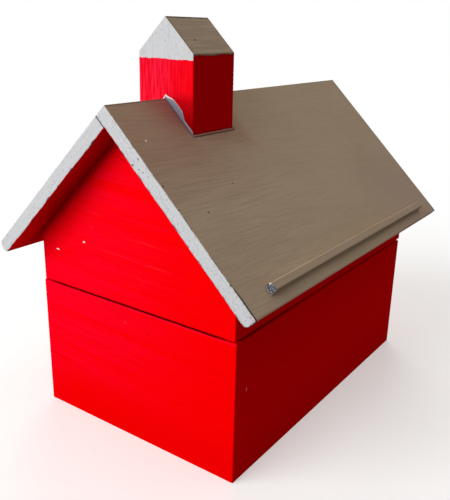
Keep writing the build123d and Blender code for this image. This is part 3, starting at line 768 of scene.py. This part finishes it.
def rail_end_paint(graph, from_middle):
    """Bare grey end grain in patches, darker towards its border."""
    patches = graph.noise(graph.place, 1150.0, 2.0, 0.6)
    grey = graph.mix(graph.step(patches, 0.47, 0.6), END_GRAIN, END_GRAIN_DARK)
    grey = graph.mix(graph.step(patches, 0.45, 0.36, 0.0, 0.8), grey, PALE_CHIP_AND_HIGHLIGHT)
    return graph.mix(graph.fade(from_middle, BARE_BORDER, 0.35), grey, END_GRAIN_DARK)


def rail_material():
    """Taupe paint with pale wear and a painted highlight along the upper edge, painted shade on the face
    that looks down the slope, and patchy grey on the ends.
    """
    graph = Graph("rail_paint", roughness=0.6, specular=0.05)
    normal_x, _, normal_z = graph.split(graph.normal)
    strokes = graph.streaks(RAIL_STROKES, 4.0, 0.6)
    colour = graph.mix(graph.step(strokes, 0.4, 0.7, 0.22, 0.0), TAUPE_DARK, TAUPE)
    shoulder = graph.step(normal_z, *RAIL_SHOULDER_END, 0.0, 0.3)
    shoulder = graph.times(shoulder, graph.step(normal_z, *RAIL_SHOULDER_FACING))
    shoulder = graph.times(shoulder, graph.step(normal_x, *RAIL_OUTER_FACING))
    colour = graph.mix(shoulder, colour, BARK_GREY)
    # Painted shade on the face that looks down the slope
    down_slope = graph.take(graph.times(normal_x, cos(ROOF_PITCH)), graph.times(normal_z, sin(ROOF_PITCH)))
    colour = graph.mix(graph.step(down_slope, *RAIL_LOWER_FACING, 0.0, 0.4), colour, BARK_GREY)
    # Pale wear, with a painted highlight on the upper edge where it faces up into the light
    rubbed_and_lit = graph.step(graph.streaks(RAIL_WEAR, 3.0), 0.44, 0.56, 0.1, 1.0)
    rubbed_and_lit = graph.times(rubbed_and_lit, graph.step(normal_z, *RAIL_TOP_FACING))
    worn_and_highlight = graph.times(rubbed_and_lit, graph.fade(graph.y, WEAR_AND_HIGHLIGHT_ALONG, 0.45))
    colour = graph.mix(worn_and_highlight, colour, TAUPE_WORN_AND_HIGHLIGHT)
    out_x = graph.take(graph.x, rail_middle_x)
    out_z = graph.take(graph.z, rail_middle_z)
    from_middle = graph.vector("LENGTH", graph.join(out_x, 0.0, out_z))
    from_middle = graph.add(from_middle, graph.wobble(700.0, 0.35 * MM))
    from_end = graph.least(graph.take(graph.y, rail_low.y), graph.take(rail_high.y, graph.y))
    bare = graph.fade(graph.add(from_end, graph.wobble(500.0, 0.2 * MM)), BARE_END)
    bare = graph.times(bare, graph.fade(from_middle, BARE_ROUND))
    colour = graph.mix(bare, colour, rail_end_paint(graph, from_middle))
    colour = graph.mark(colour, RAIL_CHIPS, PALE_CHIP_AND_HIGHLIGHT, 0.9)
    return graph.finish(colour, strokes, THIN_BRUSH)


def pine_material():
    """Bare pine with its grain along the floor board."""
    graph = Graph("bare_pine", roughness=0.7, specular=0.2)
    return graph.finish(wood_grain(graph, FLOOR_RINGS), graph.streaks(FLOOR_GRAIN, 3.0), THIN_BRUSH)


def brass_material():
    """Brass with dull stains."""
    graph = Graph("dull_brass", roughness=0.35, specular=0.5)
    graph.shader.inputs["Metallic"].default_value = 1.0
    stain = graph.noise(graph.place, 260.0, 4.0, 0.65)
    colour = graph.mix(graph.step(stain, 0.45, 0.7), BRASS, BRASS_DULL)
    return graph.finish(colour, stain, BRASS_STAIN, graph.step(stain, 0.35, 0.7, 0.28, 0.5))


def steel_material():
    """Scratched steel wire."""
    graph = Graph("wire_steel", roughness=0.35, specular=0.5)
    graph.shader.inputs["Metallic"].default_value = 1.0
    scratches = graph.noise(graph.place, 900.0, 3.0)
    return graph.finish(graph.mix(scratches, STEEL, STEEL_DARK), scratches, STEEL_SCRATCH)


WALL_NODES = (
    "lower_front_wall",
    "lower_rear_wall",
    "lower_left_wall",
    "lower_right_wall",
    "front_gable",
    "rear_gable",
    "upper_left_wall",
    "upper_right_wall",
)
HINGE_NODES = (
    "front_hinge_lower_leaf",
    "front_hinge_upper_leaf",
    "front_hinge_pin",
    "rear_hinge_lower_leaf",
    "rear_hinge_upper_leaf",
    "rear_hinge_pin",
    "lower_hinge_screws",
    "upper_hinge_screws",
)
STEEL_NODES = (
    "wall_brads",
    "floor_brads",
    "gable_brads",
    "roof_brads",
    "ridge_brads",
    "rail_brads",
    "chimney_screws",
)


def dress(nodes, material):
    """Gives CAD nodes a material in place of their plain one."""
    for name in nodes:
        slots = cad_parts[name].data.materials
        slots.clear()
        slots.append(material)


def light_path_share(tree):
    """1 for rays that show the stage itself: from the camera, or off and through shiny pieces."""
    path = tree.nodes.new("ShaderNodeLightPath")
    share = path.outputs["Is Camera Ray"]
    for name in ("Is Glossy Ray", "Is Transmission Ray"):
        node = tree.nodes.new("ShaderNodeMath")
        node.operation = "MAXIMUM"
        tree.links.new(share, node.inputs[0])
        tree.links.new(path.outputs[name], node.inputs[1])
        share = node.outputs[0]
    return share


def floor_material():
    """A pale floor with soft shadows near the object, which fades to white further out."""
    graph = Graph("pale_floor")
    tree = graph.tree
    tree.nodes.remove(graph.shader)
    fade = graph.step(graph.vector("LENGTH", graph.place), *FLOOR_FADE)
    near = tree.nodes.new("ShaderNodeBsdfDiffuse")
    near.inputs["Color"].default_value = (FLOOR_SHOWN, FLOOR_SHOWN, FLOOR_SHOWN, 1.0)
    glow = tree.nodes.new("ShaderNodeEmission")
    glow.inputs["Strength"].default_value = FLOOR_GLOW
    both = tree.nodes.new("ShaderNodeAddShader")
    graph.put(both.inputs[0], near.outputs[0])
    graph.put(both.inputs[1], glow.outputs[0])
    white = tree.nodes.new("ShaderNodeEmission")
    white.inputs["Strength"].default_value = 1.0
    seen = graph.blend(fade, both.outputs[0], white.outputs[0])
    bounce = tree.nodes.new("ShaderNodeBsdfDiffuse")
    bounce.inputs["Color"].default_value = (FLOOR_BOUNCE, FLOOR_BOUNCE, FLOOR_BOUNCE, 1.0)
    surface = graph.blend(light_path_share(tree), bounce.outputs[0], seen)
    graph.put(tree.nodes["Material Output"].inputs["Surface"], surface)
    return graph.material


def lay_floor():
    """A level square below the object."""
    corners = [(x * FLOOR_HALF, y * FLOOR_HALF, 0.0) for x, y in ((-1, -1), (1, -1), (1, 1), (-1, 1))]
    mesh = bpy.data.meshes.new("floor")
    mesh.from_pydata(corners, [], [(0, 1, 2, 3)])
    mesh.materials.append(floor_material())
    floor = bpy.data.objects.new("floor", mesh)
    bpy.context.scene.collection.objects.link(floor)


def soft_box(name, direction, distance, width, power, colour):
    """A square area lamp that looks at the middle of the object."""
    lamp = bpy.data.lights.new(name, "AREA")
    lamp.size = width
    lamp.energy = power
    lamp.color = colour
    holder = bpy.data.objects.new(name, lamp)
    bpy.context.scene.collection.objects.link(holder)
    holder.location = LAMP_TARGET + Vector(direction).normalized() * distance
    holder.rotation_euler = (LAMP_TARGET - holder.location).to_track_quat("-Z", "Y").to_euler()


def light_world(strength, colour):
    """Soft light from all round, behind a white background."""
    world = bpy.data.worlds.new("studio")
    bpy.context.scene.world = world
    world.use_nodes = True
    tree = world.node_tree
    room = tree.nodes["Background"]
    room.inputs["Color"].default_value = (*colour, 1.0)
    room.inputs["Strength"].default_value = strength
    white = tree.nodes.new("ShaderNodeBackground")
    white.inputs["Color"].default_value = (1.0, 1.0, 1.0, 1.0)
    white.inputs["Strength"].default_value = 1.0
    choice = tree.nodes.new("ShaderNodeMixShader")
    tree.links.new(light_path_share(tree), choice.inputs[0])
    tree.links.new(room.outputs[0], choice.inputs[1])
    tree.links.new(white.outputs[0], choice.inputs[2])
    tree.links.new(choice.outputs[0], tree.nodes["World Output"].inputs["Surface"])


def set_camera():
    """The photo's camera, turned by its azimuth, elevation and roll."""
    camera = bpy.data.cameras.new("camera")
    camera.sensor_fit = "VERTICAL"
    camera.sensor_height = SENSOR_MM
    camera.lens = FOCAL_PIXELS * SENSOR_MM / FRAME_HEIGHT_PIXELS
    camera.clip_start = CAMERA_NEAREST
    azimuth, elevation, roll = (radians(a) for a in (CAMERA_AZIMUTH, CAMERA_ELEVATION, CAMERA_ROLL))
    ahead = Vector((-sin(azimuth) * cos(elevation), cos(azimuth) * cos(elevation), -sin(elevation)))
    level = Vector((cos(azimuth), sin(azimuth), 0.0))
    upward = level.cross(ahead)
    right = cos(roll) * level + sin(roll) * upward
    up = cos(roll) * upward - sin(roll) * level
    holder = bpy.data.objects.new("camera", camera)
    bpy.context.scene.collection.objects.link(holder)
    axes = Matrix((right, up, -ahead)).transposed()
    holder.matrix_world = Matrix.Translation(CAMERA_PLACE) @ axes.to_4x4()
    bpy.context.scene.camera = holder


dress(WALL_NODES, wall_material())
dress(("left_roof_board", "right_roof_board"), roof_material())
dress(("chimney",), chimney_material())
dress(("eave_rail",), rail_material())
dress(("floor_board",), pine_material())
dress(HINGE_NODES, brass_material())
dress(STEEL_NODES, steel_material())
lay_floor()
for lamp_name, lamp_values in LAMPS.items():
    soft_box(lamp_name, *lamp_values)
light_world(ROOM_STRENGTH, WARM_LIGHT)
set_camera()
bpy.context.scene.view_settings.view_transform = "Standard"
